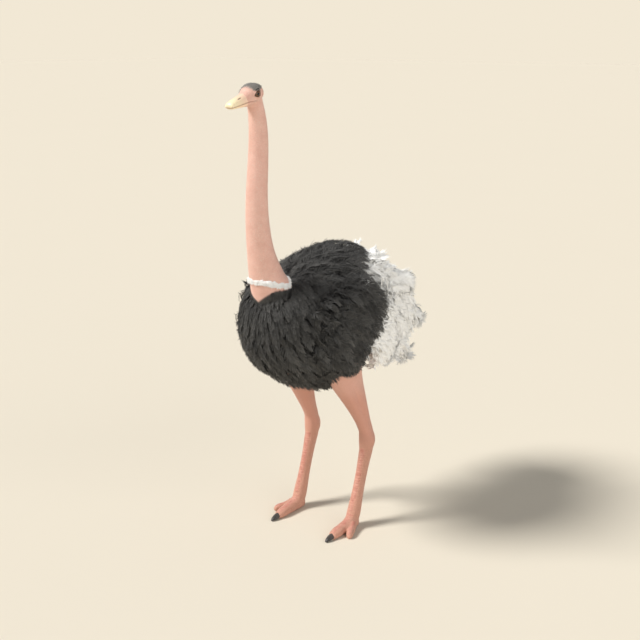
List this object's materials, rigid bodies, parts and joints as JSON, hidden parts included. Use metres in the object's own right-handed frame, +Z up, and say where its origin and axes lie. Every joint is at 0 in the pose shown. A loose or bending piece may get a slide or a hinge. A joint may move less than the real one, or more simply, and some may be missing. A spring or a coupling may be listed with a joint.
{
  "type": "ostrich",
  "caption": "Life-size adult male ostrich standing still, long bare neck and legs, black body and folded wings, white drooping tail, rests on its soles",
  "frame": {"origin": "on the floor, midway across the bird and midway between the tip of the bill and the end of the tail", "axes": "+Z up; the bird faces -Y; its left side is +X"},
  "size_m": [0.671, 1.4574, 2.4019],
  "materials": {
    "skin": "bare pink skin, satin",
    "body_plumage": "loose black feathers over the body, matte",
    "wing_plumage": "loose black feathers, matte",
    "white_plumes": "soft white plumes, matte",
    "bill": "horn, satin",
    "claw": "dark horn, satin",
    "eye": "dark brown, wet gloss"
  },
  "bodies": {
    "root": {"head": "skin", "bill_upper": "bill", "bill_lower": "bill", "eye_left": "eye", "eye_right": "eye", "neck_upper": "skin", "neck_middle": "skin", "neck_lower": "skin", "trunk": "body_plumage", "wing_left": "wing_plumage", "wing_right": "wing_plumage", "tail": "white_plumes", "thigh_left": "skin", "thigh_right": "skin", "shank_left": "skin", "shank_right": "skin", "toe_inner_left": "skin", "toe_inner_right": "skin", "toe_outer_left": "skin", "toe_outer_right": "skin", "claw_left": "claw", "claw_right": "claw"}
  },
  "joints": []
}
